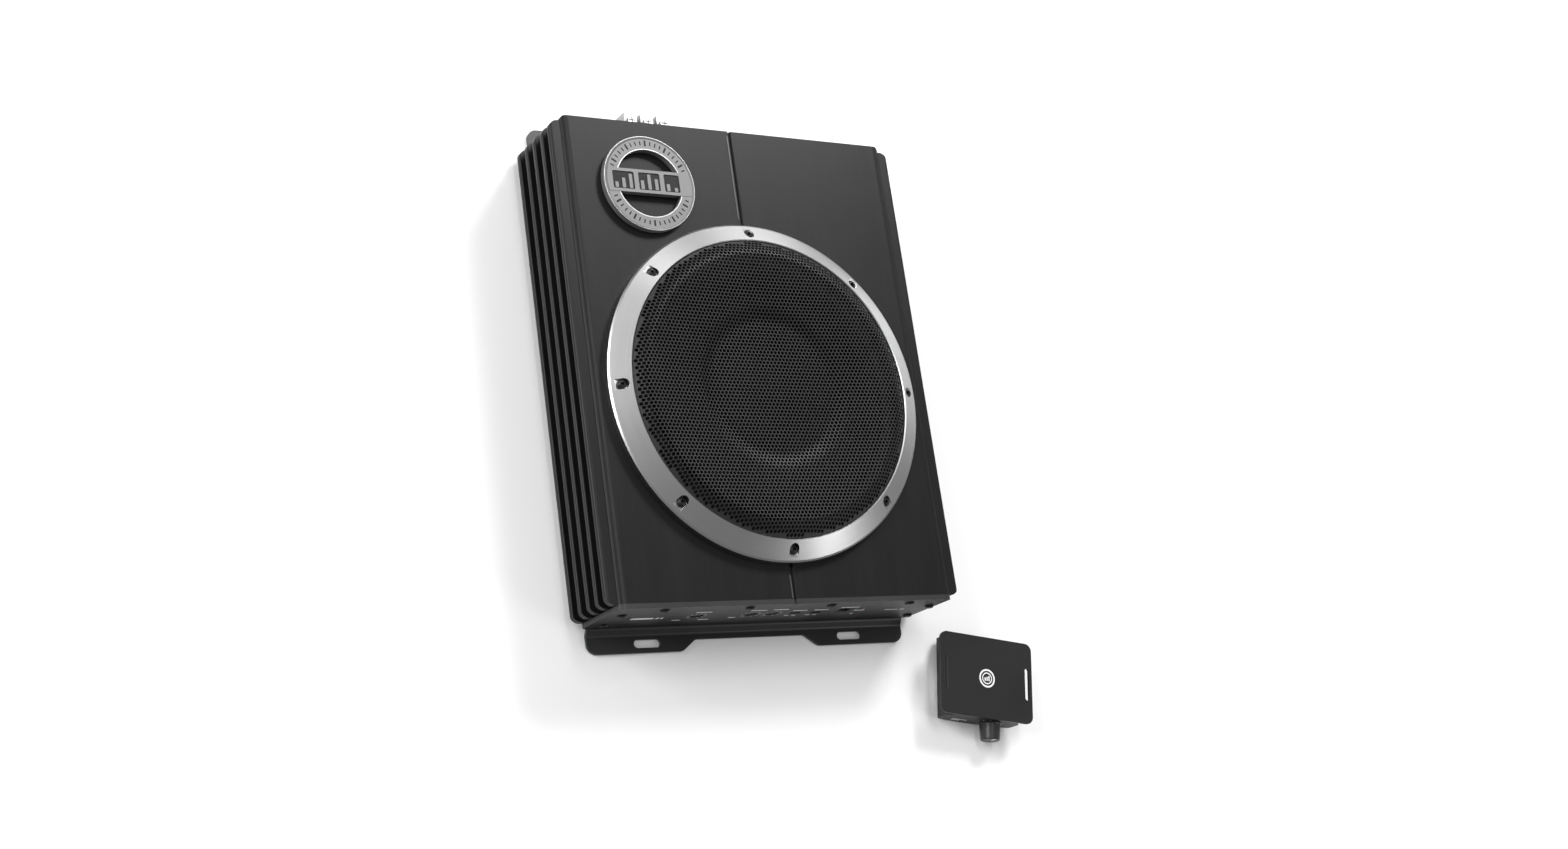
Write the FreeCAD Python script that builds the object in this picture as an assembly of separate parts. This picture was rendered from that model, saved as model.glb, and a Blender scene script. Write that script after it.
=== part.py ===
import FreeCAD, Part
import math, os
os.makedirs("parts", exist_ok=True)
V = FreeCAD.Vector

# ------------------------------------------------------------------ driving dimensions (mm)
BODY_L = 305.0        # body length along Y, end panel face to end panel face
FACE_HALF = 115.0     # half width of the flat front face
FIN_HALF = 122.5      # half width over the cooling fins
FACE_Z = 57.0         # front face height above the mounting plane
BACK_Z = 4.5          # underside of the body
PANEL_T = 3.0         # end panel thickness
TOP_T = 3.5           # front wall of the extrusion
BOT_T = 3.0           # back wall of the extrusion
ROOT_X = 110.0        # root of the fins
WALL_IN = 107.0       # inner face of the side wall
LIP_Z = (50.6, 54.9)  # first, thick fin under the face edge
FIN_TOPS = (44.0, 32.6, 21.2, 9.8)
FIN_T = 4.2
SEAM_X = 1.8          # joint line of the two extrusions

SPK_X, SPK_Y = 0.0, -21.0
OPEN_R = 90.5
RING_RO = 107.6
RING_RI = 94.8
RING_ZO = 62.9        # top of the outer edge
RING_ZI = 69.4        # top of the inner edge
SCREW_PCR = 100.5
NOTCH_FLOOR = 64.0
BASKET_T = 1.6
GRILLE_T = 1.0
CREST_R, CREST_Z = 86.6, 73.6
STEP_RO, STEP_ZO = 50.0, 70.6
STEP_RI, STEP_ZI = 43.5, 68.8

CONE_TRAVEL = 6.0
BADGE_C = (-62.5, 110.0)
BADGE_R = 31.0

FLANGE_T = 2.0
FLANGE_OUT = 15.0     # flange reach beyond the body
FLANGE_HALF = 111.5
SLOT_X, SLOT_OUT, SLOT_L, SLOT_W = 71.5, 9.5, 18.0, 5.0

GAIN_X, LPF_X, BOOST_X = -52.0, -15.0, 0.0
PHASE_X, MODE_X = 16.0, 31.0
PORT_X, LED_X = 49.5, 61.0
CTRL_Z = 31.0

REM_X, REM_Y, REM_YAW = 160.0, -197.0, -10.0      # remote level control, standing beside the body

HL = BODY_L / 2.0
EX = HL - PANEL_T

# ------------------------------------------------------------------ helpers
def box(x0, x1, y0, y1, z0, z1):
    return Part.makeBox(x1 - x0, y1 - y0, z1 - z0, V(x0, y0, z0))

def cylz(x, y, r, z0, z1):
    return Part.makeCylinder(r, z1 - z0, V(x, y, z0), V(0, 0, 1))

def cyly(x, z, r, y0, y1):
    return Part.makeCylinder(r, y1 - y0, V(x, y0, z), V(0, 1, 0))

def cylx(y, z, r, x0, x1):
    return Part.makeCylinder(r, x1 - x0, V(x0, y, z), V(1, 0, 0))

def tubez(x, y, ro, ri, z0, z1):
    return cylz(x, y, ro, z0, z1).cut(cylz(x, y, ri, z0 - 1, z1 + 1))

def tubey(x, z, ro, ri, y0, y1):
    return cyly(x, z, ro, y0, y1).cut(cyly(x, z, ri, y0 - 1, y1 + 1))

def rpoly(pts):
    """closed wire in (u, v) from (u, v) or (u, v, fillet radius) points"""
    n = len(pts)
    segs = []
    for i in range(n):
        p = pts[i]
        r = p[2] if len(p) > 2 else 0.0
        a = pts[(i - 1) % n]
        b = pts[(i + 1) % n]
        if r <= 0:
            segs.append(((p[0], p[1]), (p[0], p[1]), None))
            continue
        ux, uy = a[0] - p[0], a[1] - p[1]
        wx, wy = b[0] - p[0], b[1] - p[1]
        lu, lw = math.hypot(ux, uy), math.hypot(wx, wy)
        ux, uy, wx, wy = ux / lu, uy / lu, wx / lw, wy / lw
        c = max(-1.0, min(1.0, ux * wx + uy * wy))
        half = math.acos(c) / 2.0
        d = r / math.tan(half)
        s = (p[0] + ux * d, p[1] + uy * d)
        e = (p[0] + wx * d, p[1] + wy * d)
        bx, by = ux + wx, uy + wy
        lb = math.hypot(bx, by)
        cd = r / math.sin(half)
        cx, cy = p[0] + bx / lb * cd, p[1] + by / lb * cd
        mx, my = p[0] - cx, p[1] - cy
        lm = math.hypot(mx, my)
        m = (cx + mx / lm * r, cy + my / lm * r)
        segs.append((s, e, m))
    return segs

def wire(pts, plane, off=0.0):
    def P(q):
        if plane == "xz":
            return V(q[0], off, q[1])
        if plane == "xy":
            return V(q[0], q[1], off)
        return V(off, q[0], q[1])
    segs = rpoly(pts)
    edges = []
    n = len(segs)
    for i in range(n):
        s, e, m = segs[i]
        if m is not None:
            edges.append(Part.Arc(P(s), P(m), P(e)).toShape())
        ns = segs[(i + 1) % n][0]
        if math.hypot(ns[0] - e[0], ns[1] - e[1]) > 1e-6:
            edges.append(Part.makeLine(P(e), P(ns)))
    return Part.Wire(edges)

def prism_y(pts, y0, y1):
    return Part.Face(wire(pts, "xz", y0)).extrude(V(0, y1 - y0, 0))

def prism_z(pts, z0, z1):
    return Part.Face(wire(pts, "xy", z0)).extrude(V(0, 0, z1 - z0))

def prism_x(pts, x0, x1):
    return Part.Face(wire(pts, "yz", x0)).extrude(V(x1 - x0, 0, 0))

def revz(pts, cx=0.0, cy=0.0):
    """revolve an (r, z) section about a vertical axis"""
    f = Part.Face(wire([(p[0] + cx,) + tuple(p[1:]) for p in pts], "xz", cy))
    return f.revolve(V(cx, cy, 0), V(0, 0, 1), 360)

def revy(pts, cx=0.0, cz=0.0):
    """revolve an (r, y) section about an axis along Y"""
    w = wire([(p[0] + cx,) + tuple(p[1:]) for p in pts], "xy", cz)
    return Part.Face(w).revolve(V(cx, 0, cz), V(0, 1, 0), 360)

def rect(x0, x1, y0, y1, r):
    return [(x0, y0, r), (x1, y0, r), (x1, y1, r), (x0, y1, r)]

def fuse(shapes):
    s = shapes[0]
    if len(shapes) > 1:
        s = s.fuse(shapes[1:])
    return s.removeSplitter()

def compound(shapes):
    return Part.makeCompound(shapes)

def rot_z(s, ang, cx, cy):
    t = s.copy()
    t.rotate(V(cx, cy, 0), V(0, 0, 1), ang)
    return t

def tube_path(points, r):
    """round wire lead through the given points"""
    c = Part.BSplineCurve()
    c.interpolate([V(*p) for p in points])
    e = c.toShape()
    t = c.tangent(c.FirstParameter)[0]
    circ = Part.Wire([Part.makeCircle(r, V(*points[0]), t)])
    return Part.Wire([e]).makePipeShell([circ], True, True)

PARTS = {}
def put(name, shape):
    PARTS[name] = shape

# ------------------------------------------------------------------ housing extrusions
def side_profile():
    pts = [(FACE_HALF - 2.185, FACE_Z, 7.8), (FACE_HALF, FACE_Z - 1.75), (FACE_HALF + 0.1, LIP_Z[1]),
           (FIN_HALF, LIP_Z[1], 2.2), (FIN_HALF, LIP_Z[0], 1.6), (ROOT_X, LIP_Z[0], 1.0)]
    for t in FIN_TOPS:
        pts += [(ROOT_X, t, 1.0), (FIN_HALF, t, 1.4), (FIN_HALF, t - FIN_T, 1.4), (ROOT_X, t - FIN_T, 0.5 if t < 10 else 1.0)]
    pts[-1] = (ROOT_X + 1.5, FIN_TOPS[-1] - FIN_T)
    pts += [(ROOT_X, BACK_Z)]
    return pts

right = side_profile()
left = [((-p[0],) + tuple(p[1:])) for p in reversed(right)]
outer = right + left
shell = prism_y(outer, -EX, EX)
cavity = prism_y(rect(-WALL_IN, WALL_IN, BACK_Z + BOT_T, FACE_Z - TOP_T, 2.0), -EX - 1, EX + 1)
shell = shell.cut(cavity)

PS_OFF = 2.3              # the screw pattern is centred on the joint of the two halves
PSCREW_TOP = [(PS_OFF - 85.3, 50.2), (PS_OFF - 28.5, 50.2), (PS_OFF + 28.5, 50.2), (PS_OFF + 85.3, 50.2)]
PSCREW_SIDE = [(PS_OFF - 107.6, 39.0), (PS_OFF + 107.6, 39.0), (PS_OFF - 107.6, 14.2), (PS_OFF + 107.6, 14.2)]
bosses = []
for (x, z) in PSCREW_TOP:
    bosses.append(cyly(x, z, 3.4, -EX, EX))
    bosses.append(box(x - 3.4, x + 3.4, -EX, EX, z, FACE_Z - TOP_T + 0.5))
for (x, z) in PSCREW_SIDE:
    sx = 1 if x > 0 else -1
    bosses.append(cyly(x, z, 3.4, -EX, EX))
    a, b = sorted((x, sx * (WALL_IN + 0.5)))
    bosses.append(box(a, b, -EX, EX, z - 3.4, z + 3.4))
shell = shell.fuse(bosses).removeSplitter()
for (x, z) in PSCREW_TOP + PSCREW_SIDE:
    shell = shell.cut(cyly(x, z, 1.52, -EX - 1, EX + 1))
# plan outline: fins with rounded corners, face corners rounded at the supply end
FH = FIN_HALF + 0.01
plan = [(FH, -EX, 6.0), (-FH, -EX, 6.0), (-FH, EX, 6.0), (FH, EX, 6.0)]
shell = shell.common(prism_z(plan, 0, FACE_Z + 1))
# speaker opening with its tapped holes
shell = shell.cut(cylz(SPK_X, SPK_Y, OPEN_R, 40, FACE_Z + 1))
RING_ANG = [i * 45.0 for i in range(8)]
def ring_pt(a, r=SCREW_PCR):
    return (SPK_X + r * math.cos(math.radians(a)), SPK_Y + r * math.sin(math.radians(a)))
for a in RING_ANG:
    x, y = ring_pt(a)
    shell = shell.cut(cylz(x, y, 2.03, 45.5, FACE_Z + 1))
# joint groove in the face
vg = prism_y([(SEAM_X - 1.3, FACE_Z + 0.01), (SEAM_X - 0.35, FACE_Z - 1.5), (SEAM_X + 0.35, FACE_Z - 1.5), (SEAM_X + 1.3, FACE_Z + 0.01)], -EX - 1, EX + 1)
shell = shell.cut(vg)
# holes for the mounting bracket screws and PCB standoffs
BR_SCREW_X = (-82.0, 0.0 + 14.0, 82.0)
BR_SCREW_Y = 141.0
for x in BR_SCREW_X:
    for sy in (-1, 1):
        shell = shell.cut(cylz(x, sy * BR_SCREW_Y, 1.52, 0, 12))
SO = [(-94.0, 76.0), (94.0, 76.0), (-94.0, 132.0), (94.0, 132.0)]
for (x, y) in SO:
    shell = shell.cut(cylz(x, y, 1.52, 3, 9))
# badge seat
for dx in (-1, 1):
    shell = shell.cut(cylz(BADGE_C[0] + dx * 16, BADGE_C[1], 1.6, 50, 58))
cut_r = box(SEAM_X, 200, -200, 200, -5, 100)
cut_l = box(-200, SEAM_X, -200, 200, -5, 100)
put("housing_extrusion_right", shell.common(cut_r).removeSplitter())
put("housing_extrusion_left", shell.common(cut_l).removeSplitter())

# ------------------------------------------------------------------ end panels
def end_panel(sign):
    y0, y1 = (-HL, -EX) if sign < 0 else (EX, HL)
    p = prism_y([(-FACE_HALF, BACK_Z, 2.5), (FACE_HALF, BACK_Z, 2.5), (FACE_HALF, FACE_Z - 1.75), (FACE_HALF - 2.185, FACE_Z, 7.8),
                 (-FACE_HALF + 2.185, FACE_Z, 7.8), (-FACE_HALF, FACE_Z - 1.75)], y0, y1)
    if sign > 0:
        p = p.common(prism_z([(-FACE_HALF - 0.02, 100), (FACE_HALF + 0.02, 100), (FACE_HALF + 0.02, HL, 2.8), (-FACE_HALF - 0.02, HL, 2.8)], 0, FACE_Z + 1))
    p = p.cut(prism_y([(SEAM_X - 1.3, FACE_Z + 0.01), (SEAM_X - 0.35, FACE_Z - 1.5), (SEAM_X + 0.35, FACE_Z - 1.5), (SEAM_X + 1.3, FACE_Z + 0.01)], y0 - 1, y1 + 1))
    yf = y0 if sign < 0 else y1
    for (x, z) in PSCREW_TOP + PSCREW_SIDE:
        p = p.cut(cyly(x, z, 1.7, y0 - 1, y1 + 1))
    return p

ctrl = end_panel(-1)
for x in (GAIN_X, LPF_X, BOOST_X):
    ctrl = ctrl.cut(cyly(x, CTRL_Z, 3.7, -HL - 1, -EX + 1))
for x in (PHASE_X, MODE_X):
    ctrl = ctrl.cut(box(x - 3.6, x + 3.6, -HL - 1, -EX + 1, CTRL_Z - 1.9, CTRL_Z + 1.9))
ctrl = ctrl.cut(box(PORT_X - 5.2, PORT_X + 5.2, -HL - 1, -EX + 1, CTRL_Z - 1.3, CTRL_Z + 8.3))
ctrl = ctrl.cut(cyly(LED_X, CTRL_Z + 6.5, 1.6, -HL - 1, -EX + 1))
put("control_end_panel", ctrl)

# openings of the supply end
TB_X0, TB_X1, TB_Z0, TB_Z1 = -66.0, -30.0, 26.0, 46.0
FUSE_XS = (-6.0, 12.0)
RCA_XS = (40.0, 58.0)
RCA_Z = 31.0
HLS_X = 84.0
pw = end_panel(1)
pw = pw.cut(box(TB_X0 - 0.2, TB_X1 + 0.2, EX - 1, HL + 1, TB_Z0 - 0.2, TB_Z1 + 0.2))
pw = pw.cut(box(-17.2, 23.2, EX - 1, HL + 1, 23.8, 38.2))
for x in RCA_XS:
    pw = pw.cut(cyly(x, RCA_Z, 5.3, EX - 1, HL + 1))
pw = pw.cut(box(HLS_X - 9.2, HLS_X + 9.2, EX - 1, HL + 1, 25.8, 36.2))
put("supply_end_panel", pw)

# end panel screws with raised heads, both ends share one shape
def pan(x, z, sign):
    prof = [(0, 0), (2.9, 0), (2.9, 0.7), (2.1, 1.5, 0.5), (0, 1.5)]
    h = revy([(r, sign * (HL + d[0])) if len(d) < 2 else (r, sign * (HL + d[0]), d[1]) for r, *d in prof], x, z)
    s = cyly(x, z, 1.5, *sorted((sign * HL, sign * (HL - 12))))
    a, b = sorted((sign * (HL + 0.6), sign * (HL + 1.6)))
    d = [box(x - 1.6, x + 1.6, a, b, z - 0.3, z + 0.3), box(x - 0.3, x + 0.3, a, b, z - 1.6, z + 1.6)]
    return h.fuse(s).removeSplitter().cut(compound(d))
put("end_panel_screws", compound([pan(x, z, s) for s in (-1, 1) for (x, z) in PSCREW_TOP + PSCREW_SIDE]))

# ------------------------------------------------------------------ mounting brackets
def bracket(sign):
    def Y(d):
        return sign * (HL + d)
    # flange outline, tabs at both sides with a shallow notch between them
    fl = [(-FLANGE_HALF, Y(0.8)), (-FLANGE_HALF, Y(FLANGE_OUT), 6.5), (-48.0, Y(FLANGE_OUT), 5.0), (-38.5, Y(8.0), 4.0),
          (38.5, Y(8.0), 4.0), (48.0, Y(FLANGE_OUT), 5.0), (FLANGE_HALF, Y(FLANGE_OUT), 6.5), (FLANGE_HALF, Y(0.8))]
    # sheet profile: flange, bend up to the body back and the strip screwed under it
    prof = [(Y(FLANGE_OUT + 1), 0.0), (Y(3.4), 0.0, 2.5), (Y(-0.4), BACK_Z - 2.0, 2.0), (Y(-23.0), BACK_Z - 2.0), (Y(-23.0), BACK_Z),
            (Y(0.6), BACK_Z, 2.6), (Y(4.4), FLANGE_T, 2.6), (Y(FLANGE_OUT + 1), FLANGE_T)]
    fl = [(-FLANGE_HALF, Y(-24.0))] + fl[1:-1] + [(FLANGE_HALF, Y(-24.0))]
    s = prism_x(prof, -FLANGE_HALF - 1, FLANGE_HALF + 1).common(prism_z(fl, -1, BACK_Z + 1)).removeSplitter()
    for sx in (-1, 1):
        yc = Y(SLOT_OUT)
        h = SLOT_L / 2 - SLOT_W / 2
        slot = fuse([box(sx * SLOT_X - h, sx * SLOT_X + h, yc - SLOT_W / 2, yc + SLOT_W / 2, -1, FLANGE_T + 1),
                     cylz(sx * SLOT_X - h, yc, SLOT_W / 2, -1, FLANGE_T + 1), cylz(sx * SLOT_X + h, yc, SLOT_W / 2, -1, FLANGE_T + 1)])
        s = s.cut(slot)
    for x in BR_SCREW_X:
        s = s.cut(cylz(x, sign * BR_SCREW_Y, 1.7, -1, 6))
    return s
put("mounting_bracket_control_end", bracket(-1))
put("mounting_bracket_supply_end", bracket(1))
put("bracket_screws", compound([fuse([cylz(x, s * BR_SCREW_Y, 3.0, 0.7, BACK_Z - 2.0), cylz(x, s * BR_SCREW_Y, 1.5, BACK_Z - 2.0, 11.0)])
                                .cut(box(x - 2.0, x + 2.0, s * BR_SCREW_Y - 0.35, s * BR_SCREW_Y + 0.35, 0.0, 1.6))
                                for x in BR_SCREW_X for s in (-1, 1)]))

# ------------------------------------------------------------------ trim ring
sl = (RING_ZI - RING_ZO) / (RING_RO - 1.0 - RING_RI)
ring = revz([(RING_RO, FACE_Z), (RING_RO, RING_ZO - 1.0), (RING_RO - 1.0, RING_ZO), (RING_RI + 0.6, RING_ZI), (RING_RI, RING_ZI - 0.5),
             (RING_RI, FACE_Z + BASKET_T + GRILLE_T + 0.2), (99.2, FACE_Z + BASKET_T + GRILLE_T + 0.2), (99.2, FACE_Z + BASKET_T),
             (106.3, FACE_Z + BASKET_T), (106.3, FACE_Z)], SPK_X, SPK_Y)
for a in RING_ANG:
    x, y = ring_pt(a)
    pocket = cylz(x, y, 3.3, NOTCH_FLOOR, 75)
    run = rot_z(box(x, x + 6.0, y - 3.3, y + 3.3, NOTCH_FLOOR, 75), a, x, y)
    ring = ring.cut(pocket.fuse(run))
    ring = ring.cut(cylz(x, y, 2.2, 55, 75))
put("trim_ring", ring)

def ring_screw(x, y):
    head = revz([(0, NOTCH_FLOOR), (2.95, NOTCH_FLOOR), (2.95, NOTCH_FLOOR + 1.2, 0.6), (1.6, NOTCH_FLOOR + 2.1, 0.4), (0, NOTCH_FLOOR + 2.1)], x, y)
    s = head.fuse(cylz(x, y, 2.0, 51.5, NOTCH_FLOOR)).removeSplitter()
    hexp = [(x + 1.25 * math.cos(math.radians(60 * k)), y + 1.25 * math.sin(math.radians(60 * k))) for k in range(6)]
    return s.cut(prism_z(hexp, NOTCH_FLOOR + 0.7, NOTCH_FLOOR + 3))
put("trim_ring_screws", compound([ring_screw(*ring_pt(a)) for a in RING_ANG]))

# ------------------------------------------------------------------ grille
gz0 = FACE_Z + BASKET_T
T = GRILLE_T
grille = revz([(98.2, gz0), (98.2, gz0 + T), (94.3, gz0 + T, 0.0), (94.3, RING_ZI - 0.9, 1.2), (CREST_R, CREST_Z, 4.0),
               (STEP_RO, STEP_ZO, 5.0), (STEP_RI, STEP_ZI, 5.0), (0, STEP_ZI - 0.2),
               (0, STEP_ZI - 0.2 - T), (STEP_RI, STEP_ZI - T, 5.0), (STEP_RO, STEP_ZO - T, 5.0),
               (CREST_R, CREST_Z - T - 0.1, 3.0), (93.3, RING_ZI - 1.5, 0.8), (93.3, gz0)], SPK_X, SPK_Y)
put("speaker_grille", grille)

# ------------------------------------------------------------------ woofer
BZ = FACE_Z
basket = revz([(106.0, BZ), (106.0, BZ + BASKET_T), (81.5, BZ + BASKET_T), (81.5, BZ + 0.2), (79.6, 49.6), (52.8, 31.6), (51.0, 29.0),
               (22.0, 29.0), (22.0, 27.2), (52.0, 27.2), (54.6, 30.0), (81.4, 48.2), (84.4, BZ)], SPK_X, SPK_Y)
# spider ledge
basket = basket.fuse(revz([(46.0, 29.0), (46.0, 34.0), (51.5, 34.0), (53.0, 31.9), (50.8, 28.6), (46.0, 28.6)], SPK_X, SPK_Y)).removeSplitter()
for a in RING_ANG:
    x, y = ring_pt(a)
    basket = basket.cut(cylz(x, y, 2.2, 50, 62))
for i in range(6):
    a = 30 + i * 60
    w = revz([(57.0, 26), (77.5, 40.5), (77.5, 52), (57.0, 37.5)], SPK_X, SPK_Y)
    wedge = Part.Face(Part.makePolygon([V(SPK_X, SPK_Y, 20),
                                        V(SPK_X + 130 * math.cos(math.radians(a - 19)), SPK_Y + 130 * math.sin(math.radians(a - 19)), 20),
                                        V(SPK_X + 130 * math.cos(math.radians(a + 19)), SPK_Y + 130 * math.sin(math.radians(a + 19)), 20),
                                        V(SPK_X, SPK_Y, 20)])).extrude(V(0, 0, 40))
    basket = basket.cut(w.common(wedge))
put("woofer_basket", basket)
put("surround_gasket", tubez(SPK_X, SPK_Y, 92.6, 82.0, BZ + BASKET_T + 1.2, BZ + BASKET_T + 4.2))

c = math.cos; s = math.sin
# rolled surround: lip under the gasket, half roll, inner lip on the cone
RC, RR, TH = 74.4, 6.6, 0.9
def arc_pts(r, n, a0, a1):
    return [(RC + r * c(math.radians(a0 + (a1 - a0) * k / n)), 59.9 + r * s(math.radians(a0 + (a1 - a0) * k / n))) for k in range(n + 1)]
o = arc_pts(RR, 14, 0, 180)
i_ = arc_pts(RR - TH, 14, 180, 0)
sur = [(92.2, BZ + BASKET_T), (92.2, BZ + BASKET_T + 1.2), (81.9, BZ + BASKET_T + 1.2)] + o + [(66.8, 58.0), (62.6, 56.6), (62.9, 55.7), (67.6, 57.3)] + i_ + [(81.0, BZ + BASKET_T)]
put("cone_surround", revz(sur, SPK_X, SPK_Y))
put("speaker_cone", revz([(67.2, 57.05), (62.6, 55.5), (44.0, 51.3), (20.0, 43.6), (20.0, 42.2), (44.0, 49.9), (62.9, 54.2), (67.4, 55.9)], SPK_X, SPK_Y))
put("dust_cap", revz([(33.0, 48.9), (31.0, 52.2), (24.0, 55.2), (13.0, 57.2), (0, 57.9), (0, 57.0), (13.0, 56.3), (23.7, 54.4), (30.2, 51.6), (31.9, 48.5)], SPK_X, SPK_Y))
put("voice_coil_former", revz([(19.0, 19.5), (19.0, 44.0), (19.9, 44.0), (19.9, 42.0), (19.3, 41.5), (19.3, 30.0), (19.3, 19.5)], SPK_X, SPK_Y))
put("voice_coil_winding", tubez(SPK_X, SPK_Y, 19.9, 19.3, 20.5, 29.5))
# corrugated spider
sp_t, sp_b = [], []
for k in range(0, 27):
    r = 20.0 + k
    z = 36.3 + 1.3 * s((r - 20.0) / 26.0 * 4 * 2 * math.pi) * (1 if 1 < k < 25 else 0.0) - 1.9 * (r - 20.0) / 30.0
    sp_t.append((r, z + 0.35)); sp_b.append((r, z - 0.35))
sp = [(19.35, 36.65)] + sp_t[1:] + [(51.0, 34.75), (51.0, 34.05), (46.5, 34.05)] + list(reversed(sp_b[1:-1])) + [(19.35, 35.95)]
put("spider", revz(sp, SPK_X, SPK_Y))
put("magnet_top_plate", tubez(SPK_X, SPK_Y, 42.0, 20.6, 22.2, 27.2))
put("magnet_ring", revz([(24.5, 13.2), (45.3, 13.2), (46.0, 13.9), (46.0, 21.5), (45.3, 22.2), (24.5, 22.2)], SPK_X, SPK_Y))
put("pole_piece", revz([(6.0, 8.4), (41.0, 8.4), (42.0, 9.4), (42.0, 13.2), (18.2, 13.2), (18.2, 27.2), (17.6, 27.8), (6.0, 27.8)], SPK_X, SPK_Y))
# terminal strip on the basket and braided leads up to the cone
put("speaker_terminals", compound([box(SPK_X - 11, SPK_X + 11, SPK_Y + 55.5, SPK_Y + 57.1, 36.0, 45.0),
                                   box(SPK_X - 8, SPK_X - 4, SPK_Y + 57.1, SPK_Y + 57.9, 33.0, 46.5), box(SPK_X + 4, SPK_X + 8, SPK_Y + 57.1, SPK_Y + 57.9, 33.0, 46.5)]))

# ------------------------------------------------------------------ badge
BX, BY = BADGE_C
BAR_Y0, BAR_Y1 = BY - 6.8, BY + 8.4
BZT = FACE_Z + 5.0
bez = revz([(22.0, FACE_Z + 0.4), (BADGE_R - 0.6, FACE_Z), (BADGE_R, FACE_Z + 0.8), (BADGE_R, BZT - 0.6, 0.5), (BADGE_R - 0.9, BZT + 0.3, 0.4),
            (BADGE_R - 2.0, BZT - 0.2), (22.6, BZT - 0.2), (22.0, BZT - 0.7)], BX, BY)
disc = cylz(BX, BY, BADGE_R - 2.2, FACE_Z + 0.8, BZT)
bez = bez.fuse(box(BX - 40, BX + 40, BAR_Y0, BAR_Y1, FACE_Z + 0.8, BZT).common(disc)).removeSplitter()
BWIN = [(BX - 25.0, BX - 10.5), (BX - 7.5, BX + 7.0), (BX + 10.0, BX + 20.5)]
for (a, b) in BWIN:
    bez = bez.cut(prism_z([(a, BAR_Y0 + 1.9, 1.0), (b, BAR_Y0 + 1.9, 1.0), (b, BAR_Y1 - 1.9, 1.0), (a, BAR_Y1 - 1.9, 1.0)], BZT - 1.4, BZT + 1))
bez = bez.fuse([cylz(BX + dx * 16, BY, 1.5, 50.5, FACE_Z + 1.0) for dx in (-1, 1)]).removeSplitter()
put("badge_bezel", bez)
inl = []
for i, (a, b) in enumerate(BWIN):
    p = prism_z([(a, BAR_Y0 + 1.9, 1.0), (b, BAR_Y0 + 1.9, 1.0), (b, BAR_Y1 - 1.9, 1.0), (a, BAR_Y1 - 1.9, 1.0)], BZT - 1.4, BZT - 0.5)
    inl.append(p)
put("badge_inlays", compound(inl))

# ------------------------------------------------------------------ control end: pots, knobs, switches, sockets
def pot(x):
    b = prism_y([(x - 5.0, CTRL_Z - 7.5, 1.0), (x + 5.0, CTRL_Z - 7.5, 1.0), (x + 5.0, CTRL_Z + 5.0, 1.5), (x - 5.0, CTRL_Z + 5.0, 1.5)], -146.9, -139.2)
    b = b.fuse(tubey(x, CTRL_Z, 4.2, 2.06, -149.3, -146.9))
    b = b.cut(cyly(x, CTRL_Z, 2.06, -150.0, -141.4))
    return b.removeSplitter()
put("control_potentiometers", compound([pot(x) for x in (GAIN_X, LPF_X, BOOST_X)]))

def knob(x):
    k = revy([(0, -152.1), (2.6, -152.1, 0.4), (3.0, -149.7), (2.0, -149.7), (2.0, -141.6), (0, -141.6)], x, CTRL_Z)
    return k.cut(box(x - 0.45, x + 0.45, -153.0, -150.9, CTRL_Z - 0.6, CTRL_Z + 3.2))
put("gain_knob", knob(GAIN_X))
put("lowpass_knob", knob(LPF_X))
put("bass_boost_knob", knob(BOOST_X))

def sw_body(x):
    b = box(x - 5.5, x + 5.5, -149.2, -139.2, CTRL_Z - 3.2, CTRL_Z + 3.2)
    b = b.cut(box(x - 3.4, x + 3.4, -150.0, -145.0, CTRL_Z - 1.6, CTRL_Z + 1.6))
    return b
put("slide_switch_bodies", compound([sw_body(PHASE_X), sw_body(MODE_X)]))
def slider(x):
    a = x - 1.5
    s_ = box(a - 1.5, a + 1.5, -151.9, -145.4, CTRL_Z - 1.25, CTRL_Z + 1.25)
    for k in (-0.8, 0.0, 0.8):
        s_ = s_.cut(box(a + k - 0.15, a + k + 0.15, -153, -151.5, CTRL_Z - 2, CTRL_Z + 2))
    return s_
put("phase_switch_slider", slider(PHASE_X))
put("input_mode_switch_slider", slider(MODE_X))
port = box(PORT_X - 5.0, PORT_X + 5.0, -152.3, -139.2, CTRL_Z - 1.1, CTRL_Z + 8.1)
port = port.cut(box(PORT_X - 3.7, PORT_X + 3.7, -153.5, -143.0, CTRL_Z + 0.2, CTRL_Z + 6.0))
port = port.cut(box(PORT_X - 1.6, PORT_X + 1.6, -153.5, -145.0, CTRL_Z + 5.9, CTRL_Z + 7.2))
put("remote_port", port)
put("power_led", revy([(0, -153.2), (1.0, -153.0), (1.45, -152.0), (1.45, -146.0), (1.9, -146.0), (1.9, -145.0), (0, -145.0)], LED_X, CTRL_Z + 6.5))
put("control_circuit_board", box(-72, 74, -139.2, -137.6, 12.0, 46.0))

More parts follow.
